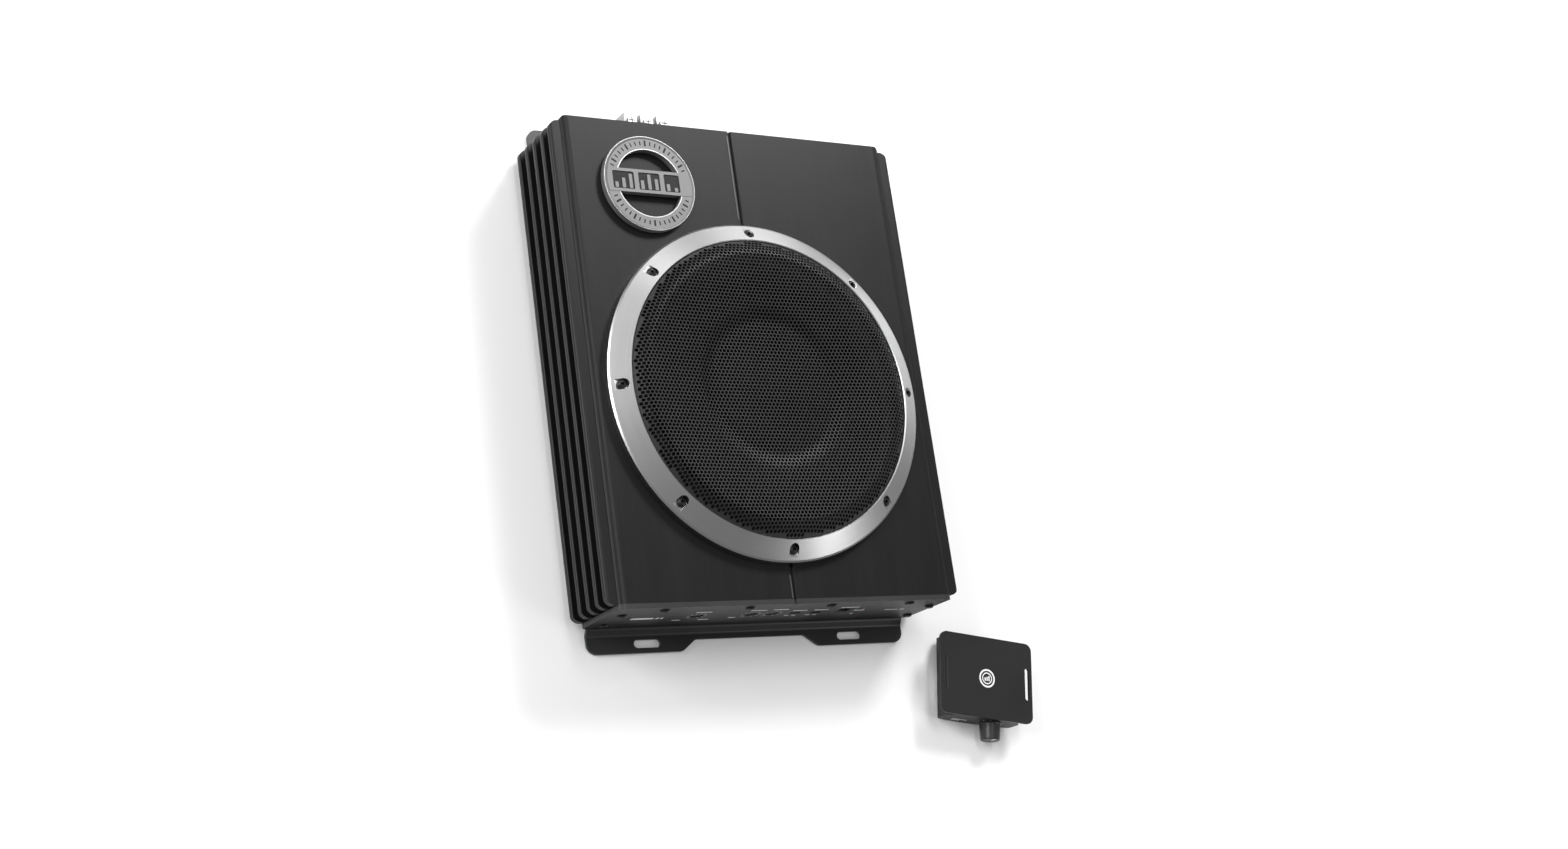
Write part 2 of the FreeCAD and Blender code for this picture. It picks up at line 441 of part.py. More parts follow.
# ------------------------------------------------------------------ supply end: terminals, fuses, sockets
tb = box(TB_X0, TB_X1, 140.0, HL + 3.0, TB_Z0, TB_Z1)
TB_CELLS = [TB_X0 + 6.6 + 11.4 * k for k in range(3)]
for x in TB_CELLS:
    tb = tb.cut(box(x - 4.6, x + 4.6, 145.0, HL + 12, TB_Z0 + 3.0, TB_Z1 - 3.0))
tb = tb.cut(box(TB_X0 - 1, TB_X1 + 1, HL, HL + 4, TB_Z1 - 3.4, TB_Z1 + 1))
put("power_terminal_block", tb)
def clamp(x):
    b = box(x - 4.4, x + 4.4, 145.2, HL + 13.0, TB_Z0 + 3.2, TB_Z1 - 3.2)
    b = b.cut(cyly(x, TB_Z0 + 7.6, 3.0, 149.0, HL + 15))
    b = b.cut(cylz(x, HL + 7.5, 2.05, TB_Z0 + 7.0, TB_Z1))
    return b
put("terminal_clamps", compound([clamp(x) for x in TB_CELLS]))
def tscrew(x):
    b = fuse([cylz(x, HL + 7.5, 2.0, TB_Z1 - 9.0, TB_Z1 - 3.2), cylz(x, HL + 7.5, 2.9, TB_Z1 - 3.2, TB_Z1 - 1.4)])
    return b.cut(compound([box(x - 2.0, x + 2.0, HL + 7.2, HL + 7.8, TB_Z1 - 2.3, TB_Z1), box(x - 0.3, x + 0.3, HL + 5.5, HL + 9.5, TB_Z1 - 2.3, TB_Z1)]))
put("terminal_screws", compound([tscrew(x) for x in TB_CELLS]))
fh = box(-17.0, 23.0, 140.0, HL + 1.6, 24.0, 38.0)
for x in FUSE_XS:
    fh = fh.cut(box(x - 8.2, x + 8.2, 148.0, HL + 4, 28.2, 33.8))
    for k in (-1, 1):
        fh = fh.cut(box(x + k * 5.0 - 2.7, x + k * 5.0 + 2.7, 141.0, 149.0, 30.5, 31.5))
put("fuse_holder", fh)
def fuse_body(x):
    return prism_y([(x - 8.0, 28.6, 0.6), (x + 8.0, 28.6, 0.6), (x + 8.0, 33.4, 0.6), (x - 8.0, 33.4, 0.6)], 148.2, HL + 4.4)
put("blade_fuses", compound([fuse_body(x).fuse([box(x + k * 5.0 - 2.5, x + k * 5.0 + 2.5, 141.6, 148.2, 30.65, 31.35) for k in (-1, 1)]).removeSplitter() for x in FUSE_XS]))
def rca_shell(x):
    return fuse([tubey(x, RCA_Z, 4.15, 3.3, 149.5, HL + 9.0), tubey(x, RCA_Z, 5.2, 3.3, 149.5, HL + 0.8)])
put("rca_jack_shells", compound([rca_shell(x) for x in RCA_XS]))
def rca_core(x):
    return cyly(x, RCA_Z, 3.3, 144.0, HL + 7.6).cut(cyly(x, RCA_Z, 1.55, HL - 4, HL + 9))
put("rca_jack_insulators", compound([rca_core(x) for x in RCA_XS]))
put("rca_jack_housing", box(RCA_XS[0] - 8, RCA_XS[1] + 8, 137.0, 149.4, 24.0, 38.0).cut(compound([cyly(x, RCA_Z, 3.3, 143.9, 150) for x in RCA_XS])))
hs = box(HLS_X - 9.0, HLS_X + 9.0, 139.0, HL + 1.2, 26.0, 36.0)
hs = hs.cut(box(HLS_X - 7.4, HLS_X + 7.4, 144.0, HL + 3, 28.0, 34.4))
put("high_level_input_socket", hs)

# ------------------------------------------------------------------ amplifier
put("amplifier_circuit_board", box(-100, 100, 70, 145, 17.0, 18.6)
    .cut(compound([cylz(x, y, 1.7, 15, 20) for (x, y) in SO])))
put("board_standoffs", compound([tubez(x, y, 3.0, 1.52, BACK_Z + BOT_T, 17.0) for (x, y) in SO]))
put("board_screws", compound([fuse([cylz(x, y, 1.5, 11.0, 18.6), cylz(x, y, 2.8, 18.6, 20.4)]) for (x, y) in SO]))
put("toroid_transformer", revz([(6.0, 18.8, 2.0), (17.5, 18.8, 3.0), (17.5, 34.0, 3.0), (6.0, 34.0, 2.0)], -50, 100))
put("filter_capacitors", compound([cylz(x, 90, 6.6, 18.6, 42.0) for x in (-14, 2, 18)] + [cylz(x, 108, 5.0, 18.6, 36.0) for x in (-10, 4)]))
put("output_inductor", cylz(46, 98, 11.0, 18.6, 34.0))
def tr(x, y):
    sx = 1 if x > 0 else -1
    a, b = sorted((sx * 102.4, sx * 107.0))
    body = box(a, b, y - 5.2, y + 5.2, 21.5, 35.4)
    lx0, lx1 = sorted((sx * 98.0, sx * 102.4))
    legs = [box(lx0, lx1, y + d - 0.5, y + d + 0.5, 23.5, 24.2) for d in (-2.5, 0, 2.5)]
    legs += [box(*sorted((sx * 98.0, sx * 98.9)), y + d - 0.5, y + d + 0.5, 18.6, 24.2) for d in (-2.5, 0, 2.5)]
    return fuse([body] + legs)
TR_Y = (86.0, 102.0, 118.0)
put("output_transistors", compound([tr(sx * 105, y) for sx in (-1, 1) for y in TR_Y]))
put("transistor_clamp_bars", compound([box(*sorted((sx * 100.4, sx * 102.4)), 78.0, 126.0, 26.0, 32.0) for sx in (-1, 1)]))

# ------------------------------------------------------------------ remote level control
RW, RD, RH = 28.0, 26.0, 17.6     # half width, half depth, box height
fy = REM_Y - RD
rb = prism_y([(REM_X - RW, 2.6, 2.0), (REM_X - RW + 7.0, 0.9), (REM_X - 8.0, 0.0), (REM_X + 8.0, 0.0), (REM_X + RW - 7.0, 0.9), (REM_X + RW, 2.6, 2.0),
              (REM_X + RW, RH - 4.0, 1.0), (REM_X + RW - 5.0, RH), (REM_X - RW + 5.0, RH), (REM_X - RW, RH - 4.0, 1.0)], fy + 2.0, REM_Y + RD)
ri = prism_y([(REM_X - RW + 1.6, 4.0, 1.0), (REM_X + RW - 1.6, 4.0, 1.0), (REM_X + RW - 1.6, RH - 4.6, 1.0), (REM_X + RW - 6.0, RH - 1.6), (REM_X - RW + 6.0, RH - 1.6), (REM_X - RW + 1.6, RH - 4.6, 1.0)], fy + 1.0, REM_Y + RD - 1.6)
rb = rb.cut(ri)
RJ_X = REM_X + 8.0
rb = rb.cut(box(RJ_X - 5.2, RJ_X + 5.2, REM_Y + RD - 3, REM_Y + RD + 1, 4.9, 14.6))
RSC = [(REM_X - 17.0, REM_Y - 12.0), (REM_X + 17.0, REM_Y - 12.0), (REM_X - 17.0, REM_Y + 14.0), (REM_X + 17.0, REM_Y + 14.0)]
for (x, y) in RSC:
    rb = rb.cut(cylz(x, y, 1.4, RH - 4, RH + 1))
put("remote_housing", rb)
rf = prism_y([(REM_X - RW, 2.6, 2.0), (REM_X - RW + 7.0, 0.9), (REM_X - 8.0, 0.0), (REM_X + 8.0, 0.0), (REM_X + RW - 7.0, 0.9), (REM_X + RW, 2.6, 2.0),
              (REM_X + RW, RH - 4.0, 1.0), (REM_X + RW - 5.0, RH), (REM_X - RW + 5.0, RH), (REM_X - RW, RH - 4.0, 1.0)], fy, fy + 2.0)
KX, KZ = REM_X + 9.0, 8.6
rf = rf.cut(cyly(KX, KZ, 3.6, fy - 1, fy + 3))
put("remote_face_panel", rf)
PL_T = 1.8
plate = prism_z([(REM_X - 35.5, REM_Y - RD, 5.0), (REM_X + 35.5, REM_Y - RD, 5.0), (REM_X + 35.5, REM_Y + RD + 1.0, 5.0), (REM_X - 35.5, REM_Y + RD + 1.0, 5.0)], RH, RH + PL_T)
for sx in (-1, 1):
    xx = REM_X + sx * 31.6
    plate = plate.cut(fuse([box(xx - 1.6, xx + 1.6, REM_Y - 9.0, REM_Y + 9.0, RH - 1, RH + 3), cylz(xx, REM_Y - 9.0, 1.6, RH - 1, RH + 3), cylz(xx, REM_Y + 9.0, 1.6, RH - 1, RH + 3)]))
for (x, y) in RSC:
    plate = plate.cut(cylz(x, y, 1.22, RH - 1, RH + 1.2))
put("remote_mounting_plate", plate)
put("remote_screws", compound([fuse([cylz(x, y, 1.2, RH - 2.0, RH + 1.1), cylz(x, y, 2.1, RH - 3.0, RH - 1.6)])
                               .cut(compound([box(x - 1.2, x + 1.2, y - 0.2, y + 0.2, RH - 4.0, RH - 2.3), box(x - 0.2, x + 0.2, y - 1.2, y + 1.2, RH - 4.0, RH - 2.3)])) for (x, y) in RSC]))
rp = prism_y([(KX - 5.5, KZ - 3.9, 0.8), (KX + 5.5, KZ - 3.9, 0.8), (KX + 5.5, KZ + 5.0, 0.8), (KX - 5.5, KZ + 5.0, 0.8)], fy + 3.6, fy + 10.0)
rp = rp.fuse(tubey(KX, KZ, 3.5, 3.05, fy + 0.4, fy + 3.6)).cut(cyly(KX, KZ, 3.05, fy - 1, fy + 8.0)).removeSplitter()
put("remote_potentiometer", rp)
kn = revy([(0, fy - 11.5), (6.2, fy - 11.5, 0.8), (7.0, fy - 1.4, 0.3), (7.4, fy - 0.5), (4.4, fy - 0.5), (4.4, fy - 6.0), (3.0, fy - 6.0), (3.0, fy + 7.8), (0, fy + 7.8)], KX, KZ)
kn = kn.cut(box(KX - 0.5, KX + 0.5, fy - 13, fy - 10.9, KZ - 0.2, KZ + 6.5))
for k in range(24):
    a = math.radians(15 * k + 7.5)
    kn = kn.cut(cyly(KX + 7.15 * math.cos(a), KZ + 7.15 * math.sin(a), 0.42, fy - 12, fy - 2.2))
put("remote_knob", kn)
put("remote_circuit_board", box(REM_X - 20, REM_X + 22, fy + 10.0, fy + 11.4, 4.3, 14.4))
rj = box(RJ_X - 5.0, RJ_X + 5.0, REM_Y + RD - 12.0, REM_Y + RD + 0.4, 5.1, 14.4)
rj = rj.cut(box(RJ_X - 3.7, RJ_X + 3.7, REM_Y + RD - 9.0, REM_Y + RD + 1, 6.4, 12.2)).cut(box(RJ_X - 1.6, RJ_X + 1.6, REM_Y + RD - 6.0, REM_Y + RD + 1, 12.1, 13.4))
put("remote_cable_socket", rj)

# the loose remote stands turned by this angle beside the unit
for n in ("remote_housing", "remote_face_panel", "remote_mounting_plate", "remote_screws", "remote_potentiometer",
          "remote_knob", "remote_circuit_board", "remote_cable_socket"):
    PARTS[n].rotate(V(REM_X, REM_Y, 0), V(0, 0, 1), REM_YAW)

for n, shp in PARTS.items():
    ok = shp.isValid()
    if shp.ShapeType != "Solid" and len(shp.Solids) == 1:
        shp = shp.Solids[0]
    shp.exportStep("parts/" + n + ".step")
    print("%-34s valid=%s solids=%d vol=%.0f" % (n, ok, len(shp.Solids), shp.Volume))
print(len(PARTS), "nodes")
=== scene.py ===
import math
import bpy
import bmesh
from mathutils import Vector, Matrix


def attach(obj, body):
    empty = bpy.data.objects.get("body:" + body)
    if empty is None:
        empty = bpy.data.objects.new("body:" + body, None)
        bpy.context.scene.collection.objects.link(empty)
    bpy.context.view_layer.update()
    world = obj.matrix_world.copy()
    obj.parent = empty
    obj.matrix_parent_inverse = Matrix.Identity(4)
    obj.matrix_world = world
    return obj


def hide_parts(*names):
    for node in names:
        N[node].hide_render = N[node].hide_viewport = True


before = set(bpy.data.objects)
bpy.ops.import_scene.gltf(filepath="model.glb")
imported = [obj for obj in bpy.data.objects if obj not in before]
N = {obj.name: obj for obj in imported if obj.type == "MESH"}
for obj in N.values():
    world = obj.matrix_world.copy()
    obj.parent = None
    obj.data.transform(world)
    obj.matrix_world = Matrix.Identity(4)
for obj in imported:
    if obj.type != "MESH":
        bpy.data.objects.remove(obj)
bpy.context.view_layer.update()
BODY = "housing"
MM = 0.001

# ------------------------------------------------------------------ material helpers
def new_mat(name):
    m = bpy.data.materials.new(name)
    m.use_nodes = True
    nt = m.node_tree
    for n in list(nt.nodes):
        nt.nodes.remove(n)
    out = nt.nodes.new("ShaderNodeOutputMaterial")
    b = nt.nodes.new("ShaderNodeBsdfPrincipled")
    nt.links.new(b.outputs["BSDF"], out.inputs["Surface"])
    return m, nt, b

def nd(nt, kind, **kw):
    n = nt.nodes.new(kind)
    for k, v in kw.items():
        setattr(n, k, v)
    return n

def coords(nt, scale=(1, 1, 1), rot=(0, 0, 0), loc=(0, 0, 0), space="Object"):
    tc = nd(nt, "ShaderNodeTexCoord")
    mp = nd(nt, "ShaderNodeMapping")
    mp.inputs["Scale"].default_value = scale
    mp.inputs["Rotation"].default_value = rot
    mp.inputs["Location"].default_value = loc
    nt.links.new(tc.outputs[space], mp.inputs["Vector"])
    return mp.outputs["Vector"]

def noise(nt, vec, scale, detail=4.0, rough=0.55):
    n = nd(nt, "ShaderNodeTexNoise")
    n.inputs["Scale"].default_value = scale
    n.inputs["Detail"].default_value = detail
    n.inputs["Roughness"].default_value = rough
    nt.links.new(vec, n.inputs["Vector"])
    return n.outputs["Fac"]

def ramp(nt, fac, stops):
    r = nd(nt, "ShaderNodeValToRGB")
    e = r.color_ramp.elements
    while len(e) < len(stops):
        e.new(0.5)
    for i, (p, c) in enumerate(stops):
        e[i].position = p
        e[i].color = (c[0], c[1], c[2], 1.0) if isinstance(c, (tuple, list)) else (c, c, c, 1.0)
    nt.links.new(fac, r.inputs["Fac"])
    return r.outputs["Color"]

def maprange(nt, fac, a, b, c, d):
    m = nd(nt, "ShaderNodeMapRange")
    m.inputs["From Min"].default_value = a
    m.inputs["From Max"].default_value = b
    m.inputs["To Min"].default_value = c
    m.inputs["To Max"].default_value = d
    nt.links.new(fac, m.inputs["Value"])
    return m.outputs["Result"]

def math_node(nt, op, a, b=None):
    m = nd(nt, "ShaderNodeMath", operation=op)
    for i, v in enumerate((a, b)):
        if v is None:
            continue
        if isinstance(v, (int, float)):
            m.inputs[i].default_value = v
        else:
            nt.links.new(v, m.inputs[i])
    return m.outputs["Value"]

def bump(nt, b, height, strength, distance=0.001):
    n = nd(nt, "ShaderNodeBump")
    n.inputs["Strength"].default_value = strength
    n.inputs["Distance"].default_value = distance
    nt.links.new(height, n.inputs["Height"])
    nt.links.new(n.outputs["Normal"], b.inputs["Normal"])
    return n

def mixed(nt, fac, c1, c2, kind="MIX"):
    m = nd(nt, "ShaderNodeMix", data_type="RGBA", blend_type=kind)
    if isinstance(fac, (int, float)):
        m.inputs["Factor"].default_value = fac
    else:
        nt.links.new(fac, m.inputs["Factor"])
    for sock, v in (("A", c1), ("B", c2)):
        s = [i for i in m.inputs if i.name == sock and i.type == "RGBA"][0]
        if isinstance(v, tuple):
            s.default_value = (v[0], v[1], v[2], 1.0)
        else:
            nt.links.new(v, s)
    return [o for o in m.outputs if o.type == "RGBA"][0]

def coated(name, col, rough, spec=0.5, grain=900.0, grain_h=0.06, var=0.18, metallic=0.0, coat=0.0):
    """painted, anodised or moulded surface: fine grain, soft colour variation, uneven gloss"""
    m, nt, b = new_mat(name)
    v = coords(nt)
    big = noise(nt, v, 26.0, 5.0)
    fine = noise(nt, v, grain, 2.0)
    lo = tuple(c * (1 - var) for c in col)
    hi = tuple(min(1.0, c * (1 + var)) for c in col)
    nt.links.new(ramp(nt, big, [(0.3, lo), (0.7, hi)]), b.inputs["Base Color"])
    nt.links.new(maprange(nt, big, 0.25, 0.75, rough * 0.9, rough * 1.1), b.inputs["Roughness"])
    b.inputs["Metallic"].default_value = metallic
    b.inputs["Specular IOR Level"].default_value = spec
    b.inputs["Coat Weight"].default_value = coat
    bump(nt, b, fine, grain_h, 0.0004)
    return m

def brushed(name, col, rough, axis="y", metallic=1.0, spec=0.5, streak=0.35, aniso=0.0, bump_h=0.08, scale=1.0, center=None, rvar=0.15):
    """metal with fine straight or turned brushing"""
    m, nt, b = new_mat(name)
    if axis == "turned":
        tc = nd(nt, "ShaderNodeTexCoord")
        sp = nd(nt, "ShaderNodeSeparateXYZ")
        nt.links.new(tc.outputs["Object"], sp.inputs["Vector"])
        x = math_node(nt, "SUBTRACT", sp.outputs["X"], center[0])
        y = math_node(nt, "SUBTRACT", sp.outputs["Y"], center[1])
        r = math_node(nt, "SQRT", math_node(nt, "ADD", math_node(nt, "MULTIPLY", x, x), math_node(nt, "MULTIPLY", y, y)))
        ang = math_node(nt, "ARCTAN2", y, x)
        cb = nd(nt, "ShaderNodeCombineXYZ")
        nt.links.new(math_node(nt, "MULTIPLY", r, 2600.0 * scale), cb.inputs["X"])
        nt.links.new(math_node(nt, "MULTIPLY", ang, 1.2), cb.inputs["Y"])
        nt.links.new(math_node(nt, "MULTIPLY", sp.outputs["Z"], 900.0 * scale), cb.inputs["Z"])
        vec = cb.outputs["Vector"]
        f = noise(nt, vec, 1.0, 3.0, 0.6)
    else:
        s = {"x": (12, 1900, 1900), "y": (1900, 12, 1900), "z": (1900, 1900, 12)}[axis]
        vec = coords(nt, tuple(k * scale for k in s))
        f = noise(nt, vec, 1.0, 3.0, 0.6)
    lo = tuple(c * (1 - streak * 0.5) for c in col)
    hi = tuple(min(1.0, c * (1 + streak * 0.5)) for c in col)
    nt.links.new(ramp(nt, f, [(0.3, lo), (0.7, hi)]), b.inputs["Base Color"])
    nt.links.new(maprange(nt, f, 0.3, 0.7, rough * (1 - rvar), rough * (1 + rvar)), b.inputs["Roughness"])
    b.inputs["Metallic"].default_value = metallic
    b.inputs["Specular IOR Level"].default_value = spec
    if aniso:
        b.inputs["Anisotropic"].default_value = aniso
        t = nd(nt, "ShaderNodeTangent", direction_type="RADIAL", axis="Z")
        nt.links.new(t.outputs["Tangent"], b.inputs["Tangent"])
    bump(nt, b, f, bump_h, 0.0002)
    return m

def plain(name, col, rough, metallic=0.0, spec=0.5, **kw):
    return coated(name, col, rough, spec=spec, metallic=metallic, **kw)

# ------------------------------------------------------------------ materials
def housing_mat():
    m, nt, b = new_mat("charcoal_anodised")
    fine = noise(nt, coords(nt, (2600, 26, 2600)), 1.0, 3.0, 0.65)
    soft = noise(nt, coords(nt, (60, 9, 60)), 1.0, 4.0, 0.6)
    mix = math_node(nt, "ADD", math_node(nt, "MULTIPLY", fine, 0.6), math_node(nt, "MULTIPLY", soft, 0.4))
    nt.links.new(ramp(nt, mix, [(0.32, (0.0060, 0.0060, 0.0062)), (0.68, (0.0100, 0.0100, 0.0104))]), b.inputs["Base Color"])
    nt.links.new(maprange(nt, mix, 0.3, 0.7, 0.34, 0.40), b.inputs["Roughness"])
    b.inputs["Specular IOR Level"].default_value = 0.25
    bump(nt, b, mix, 0.10, 0.0003)
    return m

M = {}
M["housing"] = housing_mat()
M["panel"] = coated("panel_powder_coat", (0.018, 0.018, 0.0188), 0.46, spec=0.5, grain=1500.0, grain_h=0.10, var=0.12)
M["screw"] = coated("black_oxide_screw", (0.014, 0.014, 0.015), 0.33, spec=0.6, grain=2200.0, grain_h=0.05, metallic=0.35)
M["bracket"] = coated("bracket_paint", (0.020, 0.0203, 0.0213), 0.38, spec=0.5, grain=1100.0, grain_h=0.05)
M["ring"] = brushed("ring_turned_aluminium", (0.60, 0.60, 0.605), 0.30, axis="turned", streak=0.06, aniso=0.55, bump_h=0.0012, rvar=0.04, center=(0.0, -0.021))
M["grille"] = coated("grille_powder_coat", (0.021, 0.021, 0.0217), 0.48, spec=0.34, grain=1800.0, grain_h=0.03)
M["basket"] = coated("basket_e_coat", (0.004, 0.004, 0.0042), 0.6, spec=0.1, grain=900.0)
M["foam"] = coated("gasket_foam", (0.005, 0.005, 0.005), 0.9, spec=0.2, grain=700.0, grain_h=0.4)
M["rubber"] = coated("surround_rubber", (0.003, 0.003, 0.0032), 0.8, spec=0.06, grain=1600.0, grain_h=0.08)
M["cone"] = coated("cone_polymer", (0.003, 0.003, 0.0032), 0.7, spec=0.06, grain=600.0, grain_h=0.2)
M["former"] = brushed("coil_former_aluminium", (0.7, 0.7, 0.7), 0.35, axis="z")
M["copper"] = brushed("enamelled_copper", (0.62, 0.25, 0.1), 0.28, axis="turned", streak=0.5, bump_h=0.5, scale=0.6, center=(0.0, -0.021))
M["zinc"] = brushed("zinc_plated_steel", (0.6, 0.6, 0.57), 0.34, axis="x", streak=0.2)
M["ferrite"] = coated("ferrite", (0.035, 0.035, 0.038), 0.6, grain=1300.0, grain_h=0.25)
M["tinned"] = brushed("tinned_brass", (0.66, 0.62, 0.5), 0.3, axis="z")
M["badge"] = coated("badge_satin_metal", (0.185, 0.185, 0.187), 0.46, spec=0.45, grain=2400.0, grain_h=0.10, var=0.07, metallic=0.25)
M["badge_dark"] = coated("badge_inlay_enamel", (0.008, 0.008, 0.0083), 0.42, spec=0.2, grain=1600.0, grain_h=0.05)
M["pot"] = coated("pot_plastic", (0.012, 0.012, 0.013), 0.5)
M["knob"] = coated("knob_plastic", (0.016, 0.016, 0.017), 0.38, grain=1900.0, grain_h=0.05)
M["socket"] = coated("socket_nylon", (0.013, 0.013, 0.013), 0.45, grain=1200.0)
M["white_nylon"] = coated("white_nylon", (0.68, 0.67, 0.62), 0.42, grain=900.0, var=0.05)
M["led"] = coated("led_lens", (0.07, 0.012, 0.010), 0.12, spec=0.6, var=0.02, grain_h=0.0, coat=0.5)
M["nickel"] = brushed("nickel_plate", (0.38, 0.38, 0.378), 0.32, axis="y", streak=0.12, scale=0.7)
M["fuse"] = coated("fuse_polycarbonate", (0.62, 0.2, 0.015), 0.2, spec=0.6, var=0.06, grain_h=0.0, coat=0.3)
M["rca"] = coated("rca_insert", (0.42, 0.02, 0.015), 0.35, var=0.05)
M["cap"] = coated("capacitor_sleeve", (0.02, 0.025, 0.07), 0.25, var=0.1, grain_h=0.02)
M["remote"] = coated("remote_abs", (0.018, 0.018, 0.0187), 0.50, spec=0.4, grain=1300.0, grain_h=0.22, var=0.08)
M["remote_plate"] = coated("remote_plate_paint", (0.016, 0.016, 0.0166), 0.40, spec=0.35, grain=1700.0, grain_h=0.12, var=0.07)
# painted highlight: thin strips coloured far lighter than the badge to stand in for its edges catching light
M["polished"] = coated("polished_edge", (0.62, 0.62, 0.63), 0.34, grain=2400.0, grain_h=0.03, var=0.04, metallic=0.6)
# painted highlight: the seam bead is coloured much lighter than the charcoal housing to stand in for a rounded edge
# catching light
M["bead"] = coated("seam_bead_anodised", (0.060, 0.060, 0.061), 0.34, spec=0.5, grain=1900.0, grain_h=0.03)
M["print"] = coated("screen_print", (0.86, 0.86, 0.86), 0.55, spec=0.3, grain=2400.0, grain_h=0.03, var=0.04)

def pcb_mat():
    m, nt, b = new_mat("circuit_board_mask")
    v = coords(nt, (190, 190, 190))
    br = nd(nt, "ShaderNodeTexBrick")
    br.inputs["Scale"].default_value = 1.0
    br.inputs["Mortar Size"].default_value = 0.04
    br.inputs["Color1"].default_value = (0.008, 0.06, 0.02, 1)
    br.inputs["Color2"].default_value = (0.012, 0.085, 0.03, 1)
    br.inputs["Mortar"].default_value = (0.03, 0.17, 0.06, 1)
    nt.links.new(v, br.inputs["Vector"])
    nt.links.new(br.outputs["Color"], b.inputs["Base Color"])
    b.inputs["Roughness"].default_value = 0.3
    bump(nt, b, br.outputs["Fac"], 0.2, 0.0003)
    return m
M["pcb"] = pcb_mat()

def spider_mat():
    m, nt, b = new_mat("spider_weave")
    v = coords(nt, (1, 1, 1))
    w1 = nd(nt, "ShaderNodeTexWave", wave_type="BANDS", bands_direction="X")
    w2 = nd(nt, "ShaderNodeTexWave", wave_type="BANDS", bands_direction="Y")
    for w in (w1, w2):
        w.inputs["Scale"].default_value = 420.0
        nt.links.new(v, w.inputs["Vector"])
    h = math_node(nt, "MAXIMUM", w1.outputs["Fac"], w2.outputs["Fac"])
    nt.links.new(ramp(nt, h, [(0.2, (0.28, 0.2, 0.07)), (0.8, (0.55, 0.42, 0.18))]), b.inputs["Base Color"])
    b.inputs["Roughness"].default_value = 0.8
    bump(nt, b, h, 0.5, 0.0004)
    return m
M["spider"] = spider_mat()

ASSIGN = {
    "housing_extrusion_left": "housing", "housing_extrusion_right": "housing",
    "control_end_panel": "panel", "supply_end_panel": "housing", "end_panel_screws": "screw",
    "mounting_bracket_control_end": "bracket", "mounting_bracket_supply_end": "bracket", "bracket_screws": "screw",
    "trim_ring": "ring", "trim_ring_screws": "screw", "speaker_grille": "grille",
    "woofer_basket": "basket", "surround_gasket": "foam", "cone_surround": "rubber", "speaker_cone": "cone", "dust_cap": "cone",
    "voice_coil_former": "former", "voice_coil_winding": "copper", "spider": "spider", "magnet_top_plate": "zinc", "magnet_ring": "ferrite",
    "pole_piece": "zinc", "speaker_terminals": "tinned", "badge_bezel": "badge", "badge_inlays": "badge_dark",
    "control_potentiometers": "pot", "gain_knob": "knob", "lowpass_knob": "knob", "bass_boost_knob": "knob",
    "slide_switch_bodies": "pot", "phase_switch_slider": "knob", "input_mode_switch_slider": "knob", "remote_port": "socket",
    "power_led": "led", "control_circuit_board": "pcb", "power_terminal_block": "socket", "terminal_clamps": "nickel", "terminal_screws": "nickel",
    "fuse_holder": "socket", "blade_fuses": "fuse", "rca_jack_shells": "nickel", "rca_jack_insulators": "rca", "rca_jack_housing": "socket",
    "high_level_input_socket": "white_nylon", "amplifier_circuit_board": "pcb", "board_standoffs": "nickel", "board_screws": "nickel",
    "toroid_transformer": "copper", "filter_capacitors": "cap", "output_inductor": "ferrite", "output_transistors": "pot",
    "transistor_clamp_bars": "zinc", "remote_housing": "remote", "remote_face_panel": "remote", "remote_mounting_plate": "remote_plate",
    "remote_screws": "screw", "remote_potentiometer": "pot", "remote_knob": "knob", "remote_circuit_board": "pcb", "remote_cable_socket": "socket",
}
for n, k in ASSIGN.items():
    o = N[n]
    o.data.materials.clear()
    o.data.materials.append(M[k])

# ------------------------------------------------------------------ mesh helpers
def add_mesh(name, verts, faces, mat, body=BODY, smooth=False):
    me = bpy.data.meshes.new(name)
    me.from_pydata([tuple(c * MM for c in v) for v in verts], [], faces)
    me.validate()
    me.update()
    if smooth:
        me.polygons.foreach_set("use_smooth", [True] * len(me.polygons))
    o = bpy.data.objects.new(name, me)
    bpy.context.scene.collection.objects.link(o)
    me.materials.append(mat)
    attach(o, body)
    return o

